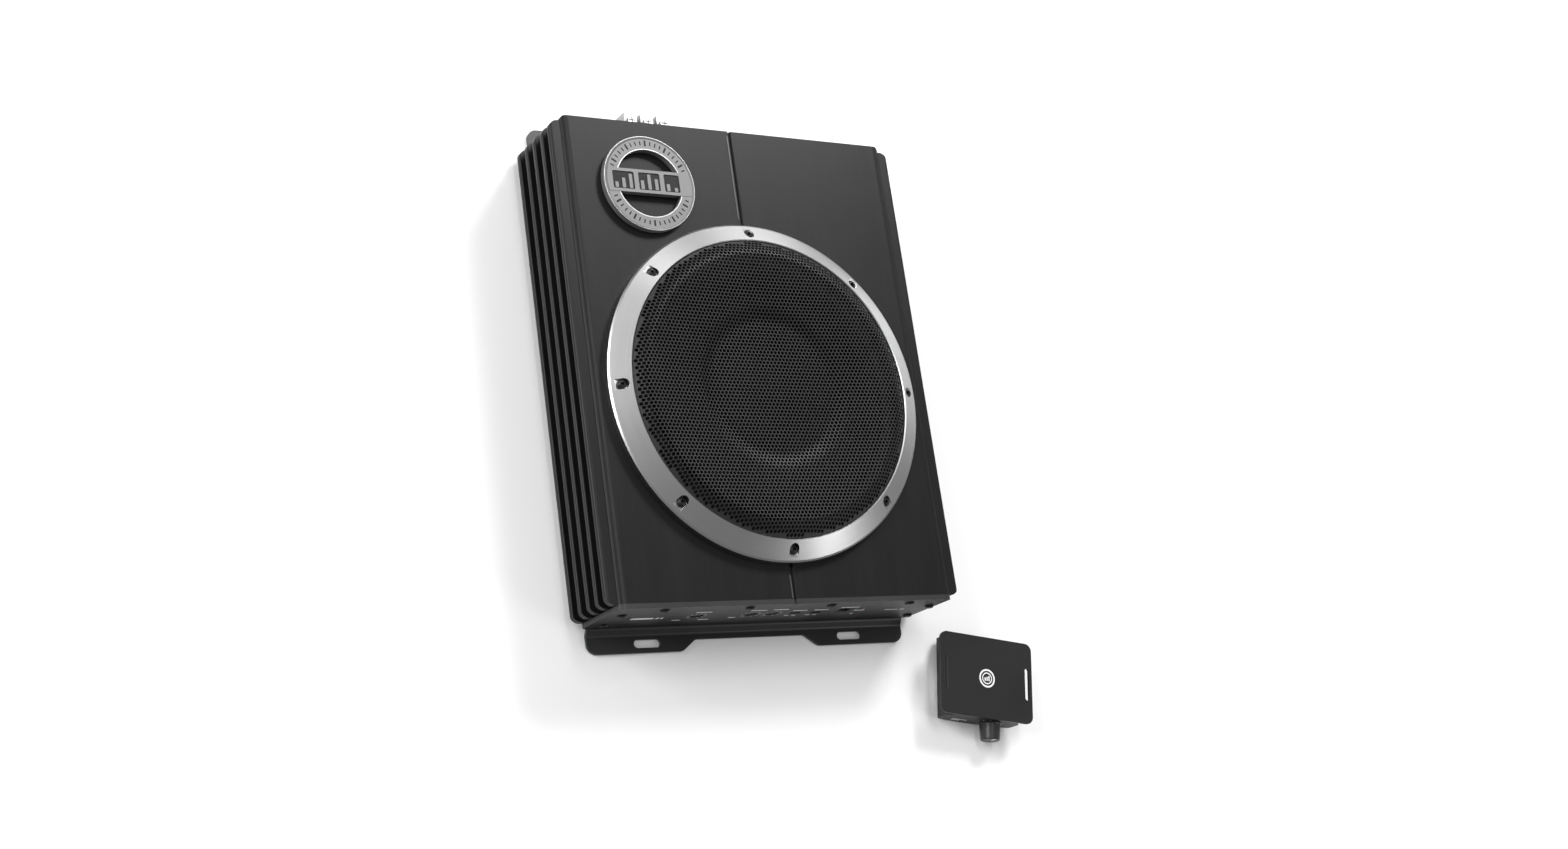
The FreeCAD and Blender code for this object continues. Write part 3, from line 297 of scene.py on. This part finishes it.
class Soup:
    """collects flat printed or raised shapes on a plane: origin, u axis, v axis, normal"""
    def __init__(self, o, u, v, n, h=0.05):
        self.o, self.u, self.v, self.n, self.h = Vector(o), Vector(u), Vector(v), Vector(n), h
        self.verts, self.faces = [], []
    def P(self, a, b, c):
        return tuple(self.o + self.u * a + self.v * b + self.n * c)
    def poly(self, pts, h=None):
        h = self.h if h is None else h
        k = len(self.verts)
        n = len(pts)
        self.verts += [self.P(a, b, 0.0) for a, b in pts] + [self.P(a, b, h) for a, b in pts]
        self.faces.append([k + n + i for i in range(n)])
        for i in range(n):
            j = (i + 1) % n
            self.faces.append([k + i, k + j, k + n + j, k + n + i])
    def rect(self, a0, a1, b0, b1, r=0.0, h=None, seg=4):
        if r <= 0:
            self.poly([(a0, b0), (a1, b0), (a1, b1), (a0, b1)], h)
            return
        pts = []
        for cx, cy, s in ((a1 - r, b0 + r, -90), (a1 - r, b1 - r, 0), (a0 + r, b1 - r, 90), (a0 + r, b0 + r, 180)):
            for i in range(seg + 1):
                t = math.radians(s + 90.0 * i / seg)
                pts.append((cx + r * math.cos(t), cy + r * math.sin(t)))
        self.poly(pts, h)
    def disc(self, a, b, r, h=None, seg=28):
        self.poly([(a + r * math.cos(2 * math.pi * i / seg), b + r * math.sin(2 * math.pi * i / seg)) for i in range(seg)], h)
    def arc(self, a, b, ri, ro, t0, t1, h=None, seg=24):
        h = self.h if h is None else h
        for i in range(seg):
            x0 = math.radians(t0 + (t1 - t0) * i / seg)
            x1 = math.radians(t0 + (t1 - t0) * (i + 1) / seg)
            self.poly([(a + ri * math.cos(x0), b + ri * math.sin(x0)), (a + ro * math.cos(x0), b + ro * math.sin(x0)),
                       (a + ro * math.cos(x1), b + ro * math.sin(x1)), (a + ri * math.cos(x1), b + ri * math.sin(x1))], h)
    def done(self, name, mat, body=BODY):
        return add_mesh(name, self.verts, self.faces, mat, body)

# ------------------------------------------------------------------ perforated grille
CX, CY = 0.0, -21.0
CREST_R, CREST_Z = 86.6, 73.6
STEP_RO, STEP_ZO, STEP_RI, STEP_ZI = 50.0, 70.6, 43.5, 68.8
EDGE_R, EDGE_Z = 94.28, 68.45
def dome(r):
    """height of the grille's outer surface, with rounded changes of slope"""
    pts = [(0.0, STEP_ZI - 0.2), (STEP_RI, STEP_ZI), (STEP_RO, STEP_ZO), (CREST_R, CREST_Z), (EDGE_R + 1.0, EDGE_Z - 0.65)]
    rad = [0.0, 3.2, 3.2, 2.6, 0.0]
    def lin(q):
        q = abs(q)
        for (a, za), (b, zb) in zip(pts, pts[1:]):
            if q <= b:
                return za + (zb - za) * (q - a) / (b - a)
        return pts[-1][1]
    w = 2.6
    k = 9
    return sum(lin(r + w * (i / (k - 1.0) - 0.5) * 2.0 * 0.9) for i in range(k)) / k - 0.12

def perforated():
    p = 2.55
    hole = 1.10
    dy = p * math.sqrt(3) / 2
    verts, faces, index = [], [], {}
    def vid(x, y):
        key = (round(x * 500), round(y * 500))
        if key not in index:
            r = math.hypot(x, y)
            if r > EDGE_R:
                x, y = x * EDGE_R / r, y * EDGE_R / r
                r = EDGE_R
            index[key] = len(verts)
            verts.append((CX + x, CY + y, dome(r)))
        return index[key]
    rows = int(EDGE_R / dy) + 2
    R6 = p / math.sqrt(3)
    for j in range(-rows, rows + 1):
        y0 = j * dy
        off = p / 2 if j % 2 else 0.0
        cols = int(EDGE_R / p) + 2
        for i in range(-cols, cols + 1):
            x0 = i * p + off
            rc = math.hypot(x0, y0)
            if rc > EDGE_R + R6 * 0.9:
                continue
            corner = [(x0 + R6 * math.cos(math.radians(60 * k + 30)), y0 + R6 * math.sin(math.radians(60 * k + 30))) for k in range(6)]
            cv = [vid(*c) for c in corner]
            if len(set(cv)) < 6:
                pass
            if rc > EDGE_R - 1.25:
                ring = [v for n_, v in enumerate(cv) if v not in cv[:n_]]
                if len(ring) >= 3:
                    faces.append(ring)
                continue
            hv = []
            for k in range(12):
                t = math.radians(30 * k + 30)
                hx, hy = x0 + hole * math.cos(t), y0 + hole * math.sin(t)
                hv.append(len(verts))
                verts.append((CX + hx, CY + hy, dome(math.hypot(hx, hy))))
            for k in range(6):
                a, b = cv[k], cv[(k + 1) % 6]
                faces.append([a, b, hv[(2 * k + 2) % 12], hv[2 * k + 1], hv[2 * k]])
    return verts, faces

gv, gf = perforated()
me = bpy.data.meshes.new("grille_mesh")
me.from_pydata([tuple(c * MM for c in v) for v in gv], [], gf)
me.validate(); me.update()
me.polygons.foreach_set("use_smooth", [True] * len(me.polygons))
grille = bpy.data.objects.new("grille_mesh", me)
bpy.context.scene.collection.objects.link(grille)
me.materials.append(M["grille"])
so = grille.modifiers.new("thickness", "SOLIDIFY")
so.thickness = 0.0009
so.offset = -1.0
so.use_rim = True
es = grille.modifiers.new("edges", "EDGE_SPLIT")
es.split_angle = math.radians(40)
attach(grille, BODY)
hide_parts("speaker_grille")

def lathe(name, prof, mat, cx, cy, seg=160, body=BODY, smooth=True, closed=True):
    verts, faces = [], []
    n = len(prof)
    for i in range(seg):
        t = 2 * math.pi * i / seg
        for r, z in prof:
            verts.append((cx + r * math.cos(t), cy + r * math.sin(t), z))
    for i in range(seg):
        j = (i + 1) % seg
        for k in range(n if closed else n - 1):
            l = (k + 1) % n
            faces.append([i * n + k, j * n + k, j * n + l, i * n + l])
    return add_mesh(name, verts, faces, mat, body, smooth)

skirt = lathe("grille_skirt", [(94.28, 68.5), (94.3, 67.0), (94.3, 59.7), (98.1, 59.6), (98.1, 58.7), (93.4, 58.7), (93.4, 67.6), (93.5, 68.2)], M["grille"], CX, CY)

# ------------------------------------------------------------------ badge details
BX, BY = -62.5, 110.0
BZ = 62.0
marks = Soup((BX, BY, BZ - 0.22), (1, 0, 0), (0, 1, 0), (0, 0, 1), 0.06)
for i in range(48):
    t = math.radians(7.5 * i)
    if abs(math.sin(t)) < 0.36:
        continue
    ri, ro = (24.9, 27.5) if i % 4 else (24.3, 28.1)
    w = 0.42 if i % 4 else 0.62
    c, s = math.cos(t), math.sin(t)
    marks.poly([(ri * c + w * s, ri * s - w * c), (ro * c + w * s, ro * s - w * c), (ro * c - w * s, ro * s + w * c), (ri * c - w * s, ri * s + w * c)])
marks.done("badge_scale_marks", M["badge_dark"])
# thin lighter strips along the badge ring and crossbar edges: painted highlights of the edges catching light
edge = Soup((BX, BY, BZ - 0.22), (1, 0, 0), (0, 1, 0), (0, 0, 1), 0.12)
edge.arc(0, 0, 30.1, 30.75, 0, 360, seg=120)
edge.arc(0, 0, 22.0, 22.5, 22.5, 162.0, seg=70)
edge.arc(0, 0, 22.0, 22.5, 198.5, 341.5, seg=70)
edge.rect(-20.4, 20.4, 7.85, 8.35)
edge.rect(-21.0, 21.0, -6.75, -5.95)
edge.done("badge_painted_highlight_edges", M["polished"])
# raised strip beside the seam groove standing for the left panel's rounded edge; its lighter colour is a painted
# highlight of that edge catching light
bead = Soup((1.8, 0.0, 56.98), (1, 0, 0), (0, 1, 0), (0, 0, 1), 0.22)
for y0, y1 in ((93.0, 149.0), (-149.0, -135.0)):
    bead.rect(-2.35, -1.55, y0, y1)
bead.done("seam_bead", M["bead"])
bars = Soup((BX, BY, BZ - 0.55), (1, 0, 0), (0, 1, 0), (0, 0, 1), 0.5)
BWIN = [(-25.0, -10.5), (-7.5, 7.0), (10.0, 20.5)]
HEI = [[0.35, 0.62, 0.9], [0.55, 0.95, 0.7], [0.45, 0.25]]
for (a, b), hs in zip(BWIN, HEI):
    step = (b - a) / len(hs)
    for k, h in enumerate(hs):
        cx = a + step * (k + 0.5)
        bars.rect(cx - 1.1, cx + 1.1, -4.9 + 0.5, -4.9 + 0.5 + h * 10.4, 0.5)
bars.done("badge_bars", M["badge"])

# ------------------------------------------------------------------ printed marks on the control end
YF = -152.5
pm = Soup((0, YF, 0), (1, 0, 0), (0, 0, 1), (0, -1, 0), 0.05)
CZ = 31.0
pm.rect(-94.5, -79.5, 26.6, 30.2, 1.2)
pm.rect(-78.0, -76.2, 26.6, 30.2, 0.6)
pm.rect(-74.8, -73.4, 26.6, 30.2, 0.6)
for x in (-52.0, -15.0, 0.0):
    for k in range(11):
        t = math.radians(240 - 30 * k)
        ri, ro = (5.2, 6.4) if k % 5 else (5.0, 6.9)
        c, s = math.cos(t), math.sin(t)
        w = 0.16
        pm.poly([(x + ri * c + w * s, CZ + ri * s - w * c), (x + ro * c + w * s, CZ + ro * s - w * c), (x + ro * c - w * s, CZ + ro * s + w * c), (x + ri * c - w * s, CZ + ri * s + w * c)])
for a, b, z in ((-64.0, -58.5, 21.2), (-46.0, -39.0, 21.2), (-57.5, -47.0, 41.2), (-27.0, -22.0, 24.0), (-20.5, -9.5, 41.2), (-5.0, 5.5, 41.8),
                (11.0, 21.0, 37.6), (12.0, 15.0, 24.5), (17.0, 20.0, 24.5), (26.0, 36.0, 37.6), (27.0, 30.0, 24.5), (32.5, 35.0, 24.5),
                (43.0, 56.0, 42.0), (57.5, 65.0, 33.0), (81.0, 90.5, 31.8), (92.0, 95.5, 31.8)):
    pm.rect(a, b, z - 0.65, z + 0.65, 0.3)
pm.disc(61.0, 24.0, 1.0)
pm.done("control_panel_marks", M["print"])

# printed marks on the supply end
sm = Soup((0, 152.5, 0), (-1, 0, 0), (0, 0, 1), (0, 1, 0), 0.05)
for a, b, z in ((32.0, 40.0, 49.8 - 1.5), (43.5, 51.5, 48.3), (55.0, 63.0, 48.3), (-20.0, 2.0, 41.5), (-3.0, 14.0, 44.0), (-53.0, -45.0, 40.0), (-53.0, -62.0, 40.0), (-94.0, -74.0, 40.0)):
    a, b = min(a, b), max(a, b)
    sm.rect(a, b, z - 0.6, z + 0.6, 0.3)
for x in (-40.0, -58.0):
    sm.arc(x, 31.0, 6.4, 6.8, 0, 360, seg=40)
sm.done("supply_panel_marks", M["print"])

# ------------------------------------------------------------------ remote level control marks
RX, RY, RD, RH, PLT = 160.0, -197.0, 26.0, 17.6, 1.8
YAW = math.radians(-10.0)
UX = (math.cos(YAW), math.sin(YAW), 0.0)          # along the remote's front, to the right
UY = (-math.sin(YAW), math.cos(YAW), 0.0)         # towards its back
UF = (math.sin(YAW), -math.cos(YAW), 0.0)         # out of its front
def rpos(a, b, z):
    return (RX + a * UX[0] + b * UY[0], RY + a * UX[1] + b * UY[1], z)
KA, KZ = 9.0, 8.6
rm = Soup(rpos(0.0, -RD, 0.0), UX, (0, 0, 1), UF, 0.04)
for k in range(11):
    t = math.radians(240 - 30 * k)
    c, s_ = math.cos(t), math.sin(t)
    x, z = KA + 8.3 * c * 1.06, KZ + 0.3 + 7.9 * s_
    if not 1.4 < z < 16.4:
        continue
    rm.disc(x, z, 0.42 if k % 5 else 0.6, seg=14)
rm.rect(-19.0, -8.0, 6.6, 7.7, 0.4)
rm.rect(-19.0, -12.5, 4.4, 5.4, 0.4)
rm.done("remote_dial_marks", M["print"])
re_ = Soup(rpos(0.0, 0.0, RH + PLT), UX, UY, (0, 0, 1), 0.05)
re_.arc(0, 0, 4.9, 6.0, 0, 360, seg=48)
re_.arc(0, 0, 3.1, 3.8, 0, 360, seg=40)
for k in (-1, 0, 1):
    re_.rect(k * 1.5 - 0.45, k * 1.5 + 0.45, -1.7, 0.4 + 0.6 * (k + 1), 0.15)
re_.done("remote_plate_emblem", M["print"])
rk = Soup(rpos(KA, -RD - 11.5, KZ), UX, (0, 0, 1), UF, 0.05)
rk.rect(-0.62, 0.62, 1.0, 5.6, 0.3, h=0.08)
rk.done("remote_knob_pointer", M["print"], body="remote_level_control")

# ------------------------------------------------------------------ stage, lights, camera
def floor_mat():
    m, nt, b = new_mat("studio_floor")
    v = coords(nt)
    f = noise(nt, v, 3.0, 3.0)
    nt.links.new(ramp(nt, f, [(0.3, (0.90, 0.90, 0.90)), (0.7, (0.93, 0.93, 0.93))]), b.inputs["Base Color"])
    b.inputs["Roughness"].default_value = 0.16
    b.inputs["Specular IOR Level"].default_value = 0.5
    b.inputs["Emission Color"].default_value = (1.0, 1.0, 1.0, 1.0)
    b.inputs["Emission Strength"].default_value = 0.10
    return m
fl = bpy.data.meshes.new("floor")
S = 9.0
fl.from_pydata([(-S, -S, 0), (S, -S, 0), (S, S, 0), (-S, S, 0)], [], [[0, 1, 2, 3]])
floor = bpy.data.objects.new("floor", fl)
floor.location.z = -0.0004
bpy.context.scene.collection.objects.link(floor)
fl.materials.append(floor_mat())

scene = bpy.context.scene
w = bpy.data.worlds.new("studio")
scene.world = w
w.use_nodes = True
w.node_tree.nodes["Background"].inputs["Color"].default_value = (1.0, 1.0, 1.0, 1.0)
w.node_tree.nodes["Background"].inputs["Strength"].default_value = 0.205

def area(name, loc, target, sx, sy, power, spread=180.0):
    l = bpy.data.lights.new(name, "AREA")
    l.shape = "RECTANGLE"
    l.size, l.size_y = sx, sy
    l.energy = power
    l.spread = math.radians(spread)
    o = bpy.data.objects.new(name, l)
    o.location = loc
    d = Vector(target) - Vector(loc)
    o.rotation_euler = d.to_track_quat("-Z", "Y").to_euler()
    scene.collection.objects.link(o)
    return o

LIGHTS = [
    ("top", (0.30, 2.46, 1.70), 1.6, 1.2, 12.0),
    ("low_top", (1.45, 2.55, 0.42), 1.3, 0.6, 4.0),
    ("upper_right", (2.40, 1.65, 0.75), 1.2, 1.0, 5.0),
    ("lower_right", (2.10, -1.25, 1.75), 1.0, 1.0, 13.0),
    ("sheen", (1.35, 1.90, 1.92), 0.8, 0.8, 62.0),
    ("over_roll", (-0.14, 0.85, 3.10), 0.5, 1.6, 22.0),
    ("left", (-2.30, 0.72, 1.50), 1.4, 1.6, 54.0),
    ("upper_left", (-1.60, 2.10, 1.50), 1.2, 1.2, 7.0),
]
for n_, loc_, sx_, sy_, p_ in LIGHTS:
    area(n_, loc_, (0, 0, 0.04), sx_, sy_, p_)

scene.view_settings.view_transform = "Standard"
scene.view_settings.look = "None"
scene.view_settings.exposure = 0.0
scene.view_settings.gamma = 1.0

cam_d = bpy.data.cameras.new("camera")
cam_d.sensor_width = 36.0
cam_d.sensor_fit = "HORIZONTAL"
cam_d.lens = 48.38
cam_d.clip_end = 60.0
cam = bpy.data.objects.new("camera", cam_d)
right = Vector((0.8552, -0.1391, 0.4993))
up = Vector((-0.0177, 0.9549, 0.2964))
back = Vector((-0.5180, -0.2623, 0.8142))
mat = Matrix((
    (right.x, up.x, back.x, -0.6542),
    (right.y, up.y, back.y, -0.3779),
    (right.z, up.z, back.z, 1.1028),
    (0, 0, 0, 1)))
cam.matrix_world = mat
scene.collection.objects.link(cam)
scene.camera = cam
